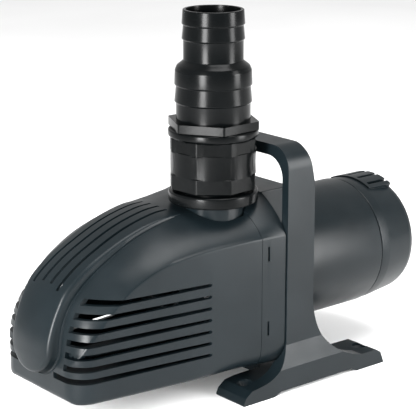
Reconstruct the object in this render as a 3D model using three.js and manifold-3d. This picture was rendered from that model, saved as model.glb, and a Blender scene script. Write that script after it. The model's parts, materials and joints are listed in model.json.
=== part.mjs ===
import * as THREE from 'three';
import { mergeVertices } from 'three/addons/utils/BufferGeometryUtils.js';
import Module from 'manifold-3d';

const wasm = await Module();
wasm.setup();

// Submersible fountain pump, millimetres, +Z up. Everything is drawn about the motor axis:
// x runs along the shaft (strainer nose at -x, motor at +x), z is the height above the shaft.
// The finished pieces are then moved so the feet stand on z = 0 and the length is centred on x = 0.

// overall placing
const SHAFT_HEIGHT = 71.3;
const NOSE_X = -150.5;
const TAIL_X = 161;
const CENTRE_X = (NOSE_X + TAIL_X) / 2;

// strainer cage hull
const HULL_NOSE_X = -142.7;
const SEAM_X = -7.1;
const COLLAR_REAR_X = 11.3;
const HULL_WALL = 2.4;
const NOSE_HALF_WIDTH = 41.8;
const SIDE_TAPER = 0.1192;
const NOSE_CORNER_RADIUS = 14;
const HULL_BOTTOM = -50;
const NOSE_CHIN_RADIUS = 5;
const SHOULDER_POWER = 1.25;
const SPINE_CROWN = 2.2;

// side slots of the cage
const SIDE_SLOT_COUNT = 7;
const SIDE_SLOT_TOP = 12.6;
const SIDE_SLOT_PITCH = 7.82;
const SIDE_SLOT_HEIGHT = 2.2;
const SIDE_SLOT_NOSE_HEIGHT = 4;
const SIDE_SLOT_END_X = -45;
const SIDE_SLOT_INNER_Y = 28;
const LOWEST_SLOT_INNER_Y = 17;

// spine panel
const PANEL_TOP_X = -43;
const PANEL_HALF_TOP = 24.5;
const PANEL_HALF_NOSE = 20.5;
const PANEL_BOTTOM = -36;
const PANEL_WALL = 2.2;
const PANEL_GAP = 0.4;
const SPINE_SLOT_PITCH = 8.5;
const SPINE_SLOT_WIDTH = 2.2;

// discharge, offset to the -y side because the volute throws off tangentially
const OUTLET_X = -17.6;
const OUTLET_Y = -21.3;
const SPIGOT_RADIUS = 20.4;
const SPIGOT_BORE = 15.5;
const RING_RADIUS = 29.2;
const OCTAGON_RADIUS = 29.2;
const OCTAGON_TURN = 230.4 + 22.5;
const HEX_RADIUS = 30.7;
const HEX_TURN = 243.3;

// motor
const MOTOR_RADIUS = 45;
const MOTOR_WALL = 3;
const MOTOR_FRONT_X = 11.6;
const MOTOR_SEAM_X = 117.5;
const CAP_REAR_X = 155;

// stand
const LEG_OUTER_Y = 61.3;
const LEG_THICK = 6;
const LEG_FRONT_X = 12;
const LEG_REAR_X = 35.5;
const FOOT_OUTER_Y = 65;
const FOOT_WIDTH = 28;
const HOOP_TOP = 94;
const HOOP_BAR = 7.4;
const BRIDGE_TOP = -62.3;
const BRIDGE_BOTTOM = -68.7;
const TOE_HOLE_X = [-15.5, 90];
const STAND_SCREW_X = 23.5;

// screws
const CASING_SCREW_CIRCLE = 38.6;
const MOTOR_SCREW_CIRCLE = 34;

// The pump's inner parts are drawn with the volute's back face at x = 1, then moved forward by this.
const DRIVE_X = -4.2;

// gap left between pieces that touch
const CLEAR = 0.3;

const plastic = { color: 0x2f373b, roughness: 0.45, metalness: 0.0 };
const glossPlastic = { color: 0x16191b, roughness: 0.25, metalness: 0.0 };
const rubber = { color: 0x121212, roughness: 0.85, metalness: 0.0 };
const steel = { color: 0xb9bcc0, roughness: 0.3, metalness: 1.0 };
const ceramic = { color: 0xe6e2d8, roughness: 0.4, metalness: 0.0 };
const copper = { color: 0xb0693c, roughness: 0.4, metalness: 1.0 };
const magnetLook = { color: 0x3a3a3e, roughness: 0.6, metalness: 0.3 };
const resin = { color: 0x3b2f2a, roughness: 0.6, metalness: 0.0 };
const core = { color: 0x6d7074, roughness: 0.5, metalness: 0.9 };

// ---- solids from three.js geometry -------------------------------------------------------------

function indexedGeometry(points, faces) {
  const geometry = new THREE.BufferGeometry();
  geometry.setAttribute('position', new THREE.Float32BufferAttribute(points.flat(), 3));
  geometry.setIndex(faces.flat());
  return geometry;
}

function toSolid(geometry) {
  const bare = geometry.clone();
  bare.deleteAttribute('normal');
  bare.deleteAttribute('uv');
  const merged = mergeVertices(bare, 1e-4);
  return new wasm.Manifold(new wasm.Mesh({
    numProp: 3,
    vertProperties: new Float32Array(merged.attributes.position.array),
    triVerts: new Uint32Array(merged.index.array),
  }));
}

// Turns a closed outline of [radius, along] points about an axis; the outline runs
// anticlockwise with radius to the right and the axis upwards.
function turned(outline, axis, segments = 24, startAngle = 0) {
  const points = [];
  const rings = outline.map(([radius, along]) => {
    const count = radius > 0 ? segments : 1;
    return Array.from({ length: count }, (_, step) => {
      const angle = THREE.MathUtils.degToRad(startAngle) + (step / segments) * Math.PI * 2;
      const a = radius * Math.cos(angle);
      const b = radius * Math.sin(angle);
      points.push(axis === 'x' ? [along, a, b] : [a, b, along]);
      return points.length - 1;
    });
  });
  const faces = [];
  rings.forEach((ring, index) => {
    const next = rings[(index + 1) % rings.length];
    if (ring.length === 1 && next.length === 1) return;
    for (let step = 0; step < segments; step += 1) {
      const a = ring[step % ring.length];
      const b = ring[(step + 1) % ring.length];
      const c = next[(step + 1) % next.length];
      const d = next[step % next.length];
      if (a !== b) faces.push([a, b, c]);
      if (c !== d) faces.push([a, c, d]);
    }
  });
  return toSolid(indexedGeometry(points, faces));
}

function ringOutline(inner, outer, from, to) {
  return [[inner, from], [outer, from], [outer, to], [inner, to]];
}

function tube(axis, inner, outer, from, to, segments = 24) {
  return turned(ringOutline(inner, outer, from, to), axis, segments);
}

function rod(axis, radius, from, to, segments = 20, startAngle = 0) {
  return turned(ringOutline(0, radius, from, to), axis, segments, startAngle);
}

// Straight prism: the outline is drawn in the plane across the axis
// (y,z for x; x,z for y; x,y for z) and swept between the two values.
function prism(axis, outline, from, to) {
  const shape = new THREE.Shape(outline.map(([a, b]) => new THREE.Vector2(a, b)));
  const geometry = new THREE.ExtrudeGeometry(shape, { depth: to - from, bevelEnabled: false });
  const position = geometry.attributes.position;
  for (let index = 0; index < position.count; index += 1) {
    const a = position.getX(index);
    const b = position.getY(index);
    const c = position.getZ(index);
    if (axis === 'x') position.setXYZ(index, from + c, a, b);
    if (axis === 'y') position.setXYZ(index, a, to - c, b);
    if (axis === 'z') position.setXYZ(index, a, b, from + c);
  }
  return toSolid(geometry);
}

function block(x0, x1, y0, y1, z0, z1) {
  return prism('z', [[x0, y0], [x1, y0], [x1, y1], [x0, y1]], z0, z1);
}

// Skins a row of equal loops, each anticlockwise seen from the far end of the row.
function skinned(loops) {
  const points = [];
  const faces = [];
  const count = loops[0].length;
  loops.forEach((loop) => loop.forEach((point) => points.push(point)));
  for (let row = 0; row < loops.length - 1; row += 1) {
    for (let step = 0; step < count; step += 1) {
      const a = row * count + step;
      const b = row * count + ((step + 1) % count);
      faces.push([a, b, b + count], [a, b + count, a + count]);
    }
  }
  [0, loops.length - 1].forEach((row) => {
    const middle = loops[row].reduce((sum, p) => sum.map((v, k) => v + p[k] / count), [0, 0, 0]);
    points.push(middle);
    const hub = points.length - 1;
    for (let step = 0; step < count; step += 1) {
      const a = row * count + step;
      const b = row * count + ((step + 1) % count);
      faces.push(row === 0 ? [hub, b, a] : [hub, a, b]);
    }
  });
  return toSolid(indexedGeometry(points, faces));
}

function union(parts) {
  return parts.reduce((sum, part) => sum.add(part));
}

// ---- finished pieces --------------------------------------------------------------------------

const pump = new THREE.Group();
pump.name = 'fountain_pump';

function piece(name, solid, look) {
  const result = solid.getMesh();
  const geometry = new THREE.BufferGeometry();
  geometry.setAttribute('position', new THREE.BufferAttribute(result.vertProperties, 3));
  geometry.setIndex(new THREE.BufferAttribute(result.triVerts, 1));
  geometry.translate(-CENTRE_X, 0, SHAFT_HEIGHT);
  geometry.computeVertexNormals();
  const mesh = new THREE.Mesh(geometry, new THREE.MeshStandardMaterial(look));
  mesh.name = name;
  pump.add(mesh);
}

function drivePiece(name, solid, look) {
  piece(name, solid.translate([DRIVE_X, 0, 0]), look);
}

// ---- hull surface shared by the cage, its spine panel and the rear collar ----------------------

function sideLine(points) {
  const corners = points.map(([x, z]) => new THREE.Vector3(x, 0, z));
  return new THREE.CatmullRomCurve3(corners, false, 'centripetal');
}

// top of the raised spine panel
const spineLine = sideLine([
  [NOSE_X, -24], [-149.4, -13], [-146.4, -2.5], [-141.8, 8], [-135.2, 19], [-122, 30],
  [-106, 39], [-84.4, 48.4], [-64, 53.8], [-46, 55.9], [PANEL_TOP_X + 5, 56],
]);

// top of the hull under and behind the panel
const crownLine = sideLine([
  [HULL_NOSE_X, -26], [-141.8, -20], [-140.6, -12], [-139, -4], [-136.4, 4], [-132.3, 11.5],
  [-127.5, 17.5], [-118, 26], [-104, 35], [-83.5, 45.3], [-63.5, 51.8], [-46, 54.9],
  [-24, 56.1], [SEAM_X, 57], [COLLAR_REAR_X, 62.4],
]);

// crease between the flat side wall and the domed cheek above it
const shoulderLine = sideLine([
  [HULL_NOSE_X, -27], [-139.5, -21.5], [-134, -12.8], [-127, -4.5], [-119.5, 3.5], [-114, 9.2],
  [-106.7, 16], [-97.5, 21.8], [-86.8, 27], [-76, 30], [-54, 33.5], [-24, 35.6],
  [COLLAR_REAR_X, 36.2],
]);

function heightOn(curve, x) {
  let low = 0;
  let high = 1;
  for (let step = 0; step < 30; step += 1) {
    const middle = (low + high) / 2;
    if (curve.getPoint(middle).x < x) low = middle;
    else high = middle;
  }
  return curve.getPoint((low + high) / 2).z;
}

function quarterRound(radius, distance) {
  if (distance >= radius) return 0;
  return radius - Math.sqrt(radius ** 2 - (radius - distance) ** 2);
}

function blend(value, from, to) {
  return THREE.MathUtils.smoothstep(value, from, to);
}

function hullLoop(x, inset) {
  const station = Math.max(x - inset, HULL_NOSE_X);
  const fromNose = station - HULL_NOSE_X;
  const wallLine = NOSE_HALF_WIDTH + SIDE_TAPER * fromNose;
  const half = wallLine - quarterRound(NOSE_CORNER_RADIUS, fromNose) - inset;
  const top = heightOn(crownLine, station) - inset;
  const shoulder = Math.min(heightOn(shoulderLine, station), top - 1.5);
  const floor = HULL_BOTTOM - 1.5 * blend(station, -45, COLLAR_REAR_X)
    + quarterRound(NOSE_CHIN_RADIUS, fromNose) + inset;
  const bevel = blend(station, -60, -15);
  const bevelIn = Math.max(3 + 4 * bevel - inset * 0.4, 0.8);
  const bevelUp = Math.max(3.2 + 13.5 * bevel - inset * 0.4, 0.8);
  const flat = Math.min(PANEL_HALF_TOP + 11.5 * blend(station, -45, COLLAR_REAR_X), half * 0.66);
  const edge = top - SPINE_CROWN;
  const side = [[0, top], [flat * 0.55, top - SPINE_CROWN * 0.3], [flat, edge]];
  const steps = 5;
  for (let step = 1; step < steps; step += 1) {
    const turn = (step / steps) * Math.PI / 2;
    side.push([
      flat + (half - flat) * Math.sin(turn) ** (2 / SHOULDER_POWER),
      shoulder + (edge - shoulder) * Math.cos(turn) ** (2 / SHOULDER_POWER),
    ]);
  }
  side.push([half, shoulder], [half, floor + bevelUp]);
  side.push([half - bevelIn * 0.3, floor + bevelUp * 0.3], [half - bevelIn, floor], [0, floor]);
  const mirrored = side.slice(1, -1).reverse().map(([y, z]) => [-y, z]);
  return [...mirrored, ...side].reverse().map(([y, z]) => [x, y, z]);
}

const NOSE_STEPS = [0, 0.6, 2, 4.5, 8, 12.5, 17.5, 25, 34, 45, 57, 70, 86, 104, 124];

function stationsBetween(startX, fromX, toX) {
  const inner = NOSE_STEPS.map((step) => startX + step)
    .filter((x) => x > fromX + 0.5 && x < toX - 0.5);
  return [fromX, ...inner, toX];
}

function hull(inset, fromX, toX) {
  return skinned(stationsBetween(HULL_NOSE_X + inset, fromX, toX).map((x) => hullLoop(x, inset)));
}

// Everything under a crowned strip that follows one of the lines above.
function belowLine(line, noseX, inset) {
  const half = PANEL_HALF_TOP + 3;
  const across = [-half, -PANEL_HALF_TOP * 0.55, 0, PANEL_HALF_TOP * 0.55, half];
  const loops = stationsBetween(noseX + inset, noseX + inset, PANEL_TOP_X + 3).map((x) => {
    const top = heightOn(line, Math.max(x - inset, noseX)) - inset;
    const crown = across.map((y) => [x, y, top - SPINE_CROWN * (y / PANEL_HALF_TOP) ** 2]);
    return [[x, half, -60], ...crown.reverse(), [x, -half, -60]];
  });
  return skinned(loops);
}

// Region of the spine panel: a tapering strip seen from above, with a rounded lower end in front.
function panelRegion(margin) {
  const noseHalf = PANEL_HALF_NOSE + margin;
  const topHalf = PANEL_HALF_TOP + margin;
  const top = PANEL_TOP_X + margin;
  const plan = prism('z', [
    [NOSE_X - 5, -noseHalf], [top, -topHalf], [top, topHalf], [NOSE_X - 5, noseHalf],
  ], -60, 70);
  const arc = [];
  for (let step = 0; step <= 12; step += 1) {
    const turn = Math.PI + (step / 12) * Math.PI;
    arc.push([noseHalf * 1.3 * Math.cos(turn), PANEL_BOTTOM + 14 + (14 + margin) * Math.sin(turn)]);
  }
  const front = prism('x', [...arc, [40, 70], [-40, 70]], NOSE_X - 5, PANEL_TOP_X + 5);
  return plan.intersect(front);
}

const hullSkin = hull(0, HULL_NOSE_X, SEAM_X)
  .subtract(hull(HULL_WALL, HULL_NOSE_X + HULL_WALL, SEAM_X + 1));

const spineSlots = union([-1.5, -0.5, 0.5, 1.5].map((place) => {
  const y = place * SPINE_SLOT_PITCH;
  const lowEnd = -133.5 - Math.abs(place) * 1.8;
  return block(lowEnd, -49, y - SPINE_SLOT_WIDTH / 2, y + SPINE_SLOT_WIDTH / 2, 0, 80);
}));

function spinePanel() {
  const hollow = belowLine(spineLine, NOSE_X, PANEL_WALL).intersect(panelRegion(-PANEL_WALL));
  return belowLine(spineLine, NOSE_X, 0)
    .subtract(belowLine(crownLine, HULL_NOSE_X, HULL_WALL - 0.6))
    .intersect(panelRegion(0))
    .subtract(hollow)
    .subtract(spineSlots);
}

// Room for the discharge neck, and for the ring that sits on the hull around it.
function neckRoom() {
  return rod('z', SPIGOT_RADIUS + 1.6, 20, 80, 32)
    .add(rod('z', RING_RADIUS + 0.5, 57.2, 80, 40))
    .translate([OUTLET_X, OUTLET_Y, 0]);
}

function strainerCage() {
  let cage = hullSkin.subtract(panelRegion(PANEL_GAP));
  for (let slot = 0; slot < SIDE_SLOT_COUNT; slot += 1) {
    const z = SIDE_SLOT_TOP - slot * SIDE_SLOT_PITCH;
    const inner = slot === SIDE_SLOT_COUNT - 1 ? LOWEST_SLOT_INNER_Y : SIDE_SLOT_INNER_Y;
    const outline = [
      [HULL_NOSE_X - 5, z - SIDE_SLOT_NOSE_HEIGHT / 2], [SIDE_SLOT_END_X, z - SIDE_SLOT_HEIGHT / 2],
      [SIDE_SLOT_END_X, z + SIDE_SLOT_HEIGHT / 2], [HULL_NOSE_X - 5, z + SIDE_SLOT_NOSE_HEIGHT / 2],
    ];
    cage = cage.subtract(prism('y', outline, inner, 70)).subtract(prism('y', outline, -70, -inner));
  }
  const neck = SPIGOT_RADIUS + 1.6;
  const mouth = block(OUTLET_X, SEAM_X + 2, OUTLET_Y - neck, OUTLET_Y + neck, 20, 80);
  return cage.subtract(neckRoom()).subtract(mouth);
}

function rearCollar() {
  const front = SEAM_X + CLEAR;
  let collar = hull(0, front, COLLAR_REAR_X).subtract(hull(HULL_WALL, front - 1, COLLAR_REAR_X - 3));
  [[20.8, 30.6], [-29.9, -20.1]].forEach(([low, high]) => {
    collar = collar.subtract(block(-2.4, -1, -70, 70, low, high));
  });
  return collar.subtract(neckRoom()).subtract(rod('x', 21, 0, 20, 32)).subtract(
    screwHoles('x', 4, MOTOR_SCREW_CIRCLE, 45, 2.4, 5, 20),
  );
}

// ---- screws -----------------------------------------------------------------------------------

function screwPlaces(count, circle, firstAngle) {
  return Array.from({ length: count }, (_, index) => {
    const angle = THREE.MathUtils.degToRad(firstAngle + (index * 360) / count);
    return [circle * Math.cos(angle), circle * Math.sin(angle)];
  });
}

function screwHoles(axis, count, circle, firstAngle, radius, from, to) {
  return union(screwPlaces(count, circle, firstAngle).map(([a, b]) => {
    const hole = rod(axis, radius, from, to, 8);
    return axis === 'x' ? hole.translate([0, a, b]) : hole.translate([a, b, 0]);
  }));
}

function panScrew(headX, headLength, tipX, headRadius, shankRadius) {
  return turned([
    [0, headX], [headRadius, headX], [headRadius, headX + headLength],
    [shankRadius, headX + headLength], [shankRadius, tipX - 1], [0, tipX],
  ], 'x', 8).subtract(block(headX - 1, headX + 1, -headRadius - 1, headRadius + 1, -0.5, 0.5));
}

// ---- strainer and collar ----------------------------------------------------------------------

piece('strainer_cage', strainerCage(), plastic);
piece('spine_panel', spinePanel(), plastic);
piece('rear_collar', rearCollar(), plastic);

// ---- wet end ----------------------------------------------------------------------------------

function atOutlet(solid) {
  return solid.translate([OUTLET_X, OUTLET_Y, 0]);
}

function voluteCasing() {
  const neckX = OUTLET_X - DRIVE_X;
  const atNeck = (solid) => solid.translate([neckX, OUTLET_Y, 0]);
  const upright = atNeck(rod('z', SPIGOT_RADIUS, 43, 92, 32));
  const foot = atNeck(rod('z', SPIGOT_RADIUS, 12, 44, 32)).intersect(block(-26.7, 1, -60, 60, 0, 60));
  const bore = atNeck(rod('z', SPIGOT_BORE, 42, 97, 32))
    .add(atNeck(rod('z', SPIGOT_BORE, 4, 45, 32)).intersect(block(-24.5, -3.2, -60, 60, 0, 60)));
  return upright.add(foot).add(rod('x', 42, -26.7, 1, 32))
    .subtract(rod('x', 35, -30, -3, 32))
    .subtract(rod('x', 21, -4, 5, 32))
    .subtract(bore)
    .subtract(screwHoles('x', 4, CASING_SCREW_CIRCLE, 0, 2.2, -30, 10));
}

function voluteCover() {
  return turned([
    [16, -38], [18.6, -38], [19, -30.6], [42, -30.6], [42, -27], [16, -27],
  ], 'x', 32)
    .subtract(screwHoles('x', 4, CASING_SCREW_CIRCLE, 0, 2.2, -35, -20));
}

function impeller() {
  const vane = prism('x', [
    [6, -1.2], [17, 1.4], [29.8, 8.2], [29, 10.2], [16, 4], [6, 1.4],
  ], -22, -7.5);
  const vanes = union([0, 60, 120, 180, 240, 300].map((turn) => vane.rotate([turn, 0, 0])));
  return vanes.add(rod('x', 9, -23.4, -5.6, 24)).add(rod('x', 31, -8, -5.6, 32))
    .subtract(rod('x', 5.3, -30, 0, 24));
}

drivePiece('volute_casing', voluteCasing(), plastic);
drivePiece('volute_cover', voluteCover(), plastic);
screwPlaces(4, CASING_SCREW_CIRCLE, 0).forEach(([y, z], index) => {
  const screw = panScrew(-33.5, 2.6, 7.5, 3.2, 1.9).translate([0, y, z]);
  drivePiece(`casing_screw_${index + 1}`, screw, steel);
});
drivePiece('impeller', impeller(), glossPlastic);
drivePiece('impeller_nut', rod('x', 8, -27, -23.7, 6).subtract(rod('x', 5.3, -30, -20, 24)), steel);
drivePiece('pump_shaft', rod('x', 5, -28.5, 101, 24), steel);
drivePiece('front_thrust_washer', tube('x', 5.3, 9.2, -5.2, -2.4, 24), ceramic);
drivePiece('casing_seal', tube('x', 24.6, 27.4, 1.3, 3.1), rubber);

// ---- bearing bracket between volute and motor -------------------------------------------------

function bearingBracket() {
  return turned([
    [12.3, 1.3], [42, 1.3], [42, 12.2], [24, 12.2], [24, 6.3], [12.3, 6.3],
  ], 'x', 32)
    .subtract(tube('x', 24.3, 27.7, 0, 3.4))
    .subtract(screwHoles('x', 4, CASING_SCREW_CIRCLE, 0, 2.2, 0, 8.5))
    .subtract(screwHoles('x', 4, MOTOR_SCREW_CIRCLE, 45, 4.2, 0, 5))
    .subtract(screwHoles('x', 4, MOTOR_SCREW_CIRCLE, 45, 2.4, 0, 20));
}

drivePiece('bearing_bracket', bearingBracket(), plastic);
screwPlaces(4, MOTOR_SCREW_CIRCLE, 45).forEach(([y, z], index) => {
  const screw = panScrew(1.8, 2.8, 19.2, 3.6, 2).translate([0, y, z]);
  drivePiece(`motor_screw_${index + 1}`, screw, steel);
});
drivePiece('front_bearing_mount', tube('x', 9.9, 12, -1.6, 7.5, 24), rubber);
drivePiece('front_bearing', tube('x', 5.3, 9.6, -1.9, 8, 24), ceramic);

// ---- motor ------------------------------------------------------------------------------------

const rotorCan = turned([
  [19.4, 8.6], [23.6, 8.6], [23.6, 11.9], [20.4, 11.9], [20.4, 107], [0, 107], [0, 105.4],
  [13.8, 105.4], [13.8, 98], [15.2, 98], [15.2, 105.4], [19.4, 105.4],
], 'x', 24);
drivePiece('rotor_can', rotorCan, plastic);
drivePiece('rotor_magnet', tube('x', 5.3, 17.5, 14, 94), magnetLook);
drivePiece('rear_thrust_washer', tube('x', 5.3, 9.2, 94.3, 95.7, 24), ceramic);
drivePiece('rear_bearing', tube('x', 5.3, 9.6, 96, 104.6, 24), ceramic);
drivePiece('rear_bearing_mount', tube('x', 9.9, 13.5, 96.6, 105, 24), rubber);
drivePiece('stator_core', tube('x', 20.8, 36, 32, 86, 32), core);
drivePiece('front_winding', tube('x', 22, 34, 22.5, 31.7), copper);
drivePiece('rear_winding', tube('x', 22, 34, 86.3, 96), copper);
drivePiece('stator_potting', tube('x', 36.3, 41.6, 21, 104, 32), resin);

function standScrewHoles(radius, from, to) {
  const hole = rod('z', radius, from, to, 12);
  return hole.translate([STAND_SCREW_X, -11, 0]).add(hole.translate([STAND_SCREW_X, 11, 0]));
}

function motorCan() {
  const barrel = turned([
    [21, MOTOR_FRONT_X], [MOTOR_RADIUS, MOTOR_FRONT_X], [MOTOR_RADIUS, MOTOR_SEAM_X - 0.6],
    [MOTOR_RADIUS - 0.6, MOTOR_SEAM_X], [MOTOR_RADIUS - MOTOR_WALL, MOTOR_SEAM_X],
    [MOTOR_RADIUS - MOTOR_WALL, MOTOR_FRONT_X + 4.7], [21, MOTOR_FRONT_X + 4.7],
  ], 'x', 40);
  const padBottom = BRIDGE_TOP + CLEAR;
  const pad = block(STAND_SCREW_X - 7.5, STAND_SCREW_X + 7.5, -18, 18, padBottom, -40)
    .subtract(rod('x', MOTOR_RADIUS - 1, 10, 60, 40));
  const screws = screwHoles('x', 4, MOTOR_SCREW_CIRCLE, 45, 2.4, MOTOR_FRONT_X - 1, MOTOR_FRONT_X + 4);
  return barrel.add(pad).subtract(screws).subtract(standScrewHoles(2.2, padBottom - 1, -45));
}

function saddleBox() {
  return block(MOTOR_FRONT_X, 43, -30, 30, 25, 58.5)
    .subtract(rod('x', MOTOR_RADIUS + CLEAR, 10, 60, 40));
}

function endCap() {
  const shell = turned([
    [38.5, 110], [41.7, 110], [41.7, 117.8], [43.9, 117.8], [44.5, 118.4], [44.3, 126],
    [41.7, 149], [40.3, 152.6], [36.5, CAP_REAR_X], [6.2, CAP_REAR_X], [6.2, 151.8], [36, 151.8],
    [38.5, 126],
  ], 'x', 40);
  const reach = 60;
  const spread = THREE.MathUtils.degToRad(26);
  const sector = prism('x', [
    [0, 0], [reach * Math.sin(spread), reach * Math.cos(spread)],
    [-reach * Math.sin(spread), reach * Math.cos(spread)],
  ], 127, 151);
  const pads = tube('x', 40.5, 45.3, 128, 150, 40).intersect(sector);
  const grooves = union([-19.5, -6.5, 6.5, 19.5].map((turn) => (
    block(131, 152, -1.3, 1.3, 43, 50).rotate([turn, 0, 0])
  )));
  return shell.add(pads).subtract(grooves).subtract(tube('x', 40.1, 43, 112.5, 115, 40));
}

piece('motor_can', motorCan(), plastic);
piece('saddle_box', saddleBox(), plastic);
piece('motor_end_cap', endCap(), plastic);
piece('end_cap_seal', tube('x', 40.3, 41.6, 112.8, 114.7, 40), rubber);
piece('cable_gland', turned([
  [3.8, 149.8], [5.9, 149.8], [5.9, 155.3], [9.5, 155.3], [9.5, 157.6], [3.8, 157.6],
], 'x', 24), glossPlastic);
piece('gland_nut', rod('x', 8.8, 157.9, TAIL_X, 6).subtract(rod('x', 3.8, 150, 170, 24)),
  glossPlastic);
piece('cord_seal', tube('x', 2.4, 3.5, 150.2, 160.6, 20), rubber);

// ---- discharge --------------------------------------------------------------------------------

function octagonTier(radius, from, to) {
  return rod('z', radius, from, to, 8, OCTAGON_TURN);
}

function unionNut() {
  return octagonTier(OCTAGON_RADIUS, 66.8, 77.1)
    .add(octagonTier(OCTAGON_RADIUS - 1.1, 76.7, 91.7))
    .add(octagonTier(OCTAGON_RADIUS, 91.3, 100.5))
    .add(turned([
      [0, 99.2], [26.8, 99.2], [RING_RADIUS, 101.2], [RING_RADIUS, 104.9],
      [RING_RADIUS - 0.6, 105.5], [0, 105.5],
    ], 'z', 32))
    .subtract(rod('z', SPIGOT_RADIUS + 0.4, 60, 97, 32))
    .subtract(rod('z', 24.4, 92.8, 112, 32));
}

function hoseTail() {
  const body = turned([
    [20.6, 94.9], [24, 94.9], [24, 122.6], [25.05, 122.9], [24, 133.6], [25.05, 133.9],
    [24.6, 143.4], [23.6, 145.6], [21, 148.4], [19.25, 149.2], [19.25, 162.7], [20.2, 163],
    [19.3, 172.2], [20.2, 172.5], [19.5, 181.7], [17.5, 181.7], [17.5, 148.4], [20.6, 143.4],
  ], 'z', 32);
  const flange = rod('z', HEX_RADIUS, 105.8, 111.2, 6, HEX_TURN)
    .subtract(rod('z', 22, 100, 115, 24));
  return body.add(flange);
}

piece('outlet_ring', atOutlet(turned([
  [20.9, 57.6], [28.4, 57.6], [RING_RADIUS, 58.4], [RING_RADIUS, 64.3], [28.4, 65.2],
  [20.9, 65.2],
], 'z', 32)), plastic);
piece('union_nut', atOutlet(unionNut()), glossPlastic);
piece('hose_tail_gasket', atOutlet(tube('z', 16.5, 24, 93.1, 94.6)), rubber);
piece('hose_tail', atOutlet(hoseTail()), glossPlastic);

// ---- stand ------------------------------------------------------------------------------------

function arcPoints(centre, radius, fromDegrees, toDegrees, steps) {
  return Array.from({ length: steps + 1 }, (_, step) => {
    const angle = THREE.MathUtils.degToRad(
      fromDegrees + ((toDegrees - fromDegrees) * step) / steps,
    );
    return [centre[0] + radius * Math.cos(angle), centre[1] + radius * Math.sin(angle)];
  });
}

function hoopOutline(outerY, top, cornerRadius) {
  const reach = outerY - cornerRadius;
  const rise = top - cornerRadius;
  return [
    [-outerY, -64.5], [outerY, -64.5],
    ...arcPoints([reach, rise], cornerRadius, 0, 90, 8),
    ...arcPoints([-reach, rise], cornerRadius, 90, 180, 8),
  ];
}

function curvePoints(from, control, to, steps) {
  const curve = new THREE.QuadraticBezierCurve(
    new THREE.Vector2(...from), new THREE.Vector2(...control), new THREE.Vector2(...to),
  );
  return curve.getPoints(steps).map((point) => [point.x, point.y]);
}

// side view of a leg: upright, spreading into the foot at both ends
const flareOutline = [
  [LEG_FRONT_X, 0], ...curvePoints([LEG_FRONT_X, -37], [8.5, -58], [-12, -61], 7),
  [-12, -64.5], [79, -64.5],
  ...curvePoints([79, -60.2], [39, -51.5], [LEG_REAR_X, -13], 8), [LEG_REAR_X, 0],
];

// side view of a foot with its two toes and the shallow arch between them
const footOutline = [
  [-12, -61], [-20.9, -62.2], [-26.2, -66.1], [-28.2, -70.3], [-27.4, -SHAFT_HEIGHT],
  [-1.5, -SHAFT_HEIGHT], [4.6, -68.7], [69, -68.7], [75, -SHAFT_HEIGHT], [100.8, -SHAFT_HEIGHT],
  [100.3, -69.8], [97.5, -63], [93.3, -60.4], [79, -60.2],
];

function standFoot(side) {
  const legInner = LEG_OUTER_Y - LEG_THICK;
  const facet = [
    [legInner, 0], [legInner, -64.5], [FOOT_OUTER_Y, -64.5], [FOOT_OUTER_Y, -54],
    [LEG_OUTER_Y, -39], [LEG_OUTER_Y, 0],
  ].map(([y, z]) => [side * y, z]);
  const section = side > 0 ? [...facet].reverse() : facet;
  const web = prism('x', section, -30, 110).intersect(prism('y', flareOutline, -70, 70));
  const low = side > 0 ? FOOT_OUTER_Y - FOOT_WIDTH : -FOOT_OUTER_Y;
  const screwHole = turned([
    [0, -80], [2.7, -80], [2.7, -65.4], [5.2, -62.4], [5.2, -50], [0, -50],
  ], 'z', 12);
  const holes = union(TOE_HOLE_X.map((x) => screwHole.translate([x, low + FOOT_WIDTH / 2, 0])));
  return web.add(prism('y', footOutline, low, low + FOOT_WIDTH)).subtract(holes);
}

function standFrame() {
  const trimmedCorner = [
    [30.5, 112], [30.5, 91.5], [LEG_REAR_X, 67], [60, 67], [60, 112],
  ];
  const hoop = prism('x', hoopOutline(LEG_OUTER_Y, HOOP_TOP, 15), LEG_FRONT_X, LEG_REAR_X)
    .subtract(prism('x', hoopOutline(LEG_OUTER_Y - LEG_THICK, HOOP_TOP - HOOP_BAR, 14), 0, 60))
    .subtract(prism('y', trimmedCorner, -70, 70));
  const bridge = block(STAND_SCREW_X - 9.5, STAND_SCREW_X + 9.5, -40, 40, BRIDGE_BOTTOM, BRIDGE_TOP);
  return hoop.add(standFoot(1)).add(standFoot(-1)).add(bridge)
    .subtract(hull(-0.5, SEAM_X, COLLAR_REAR_X + 0.4))
    .subtract(standScrewHoles(2.6, -80, -50));
}

piece('stand_frame', standFrame(), plastic);
[-11, 11].forEach((y, index) => {
  const headX = -SHAFT_HEIGHT + 0.1;
  const screw = panScrew(headX, 2.2, BRIDGE_TOP + 16, 3.8, 2).rotate([0, -90, 0]);
  piece(`stand_screw_${index + 1}`, screw.translate([STAND_SCREW_X, y, 0]), steel);
});

export default pump;
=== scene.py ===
import json
import math

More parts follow.
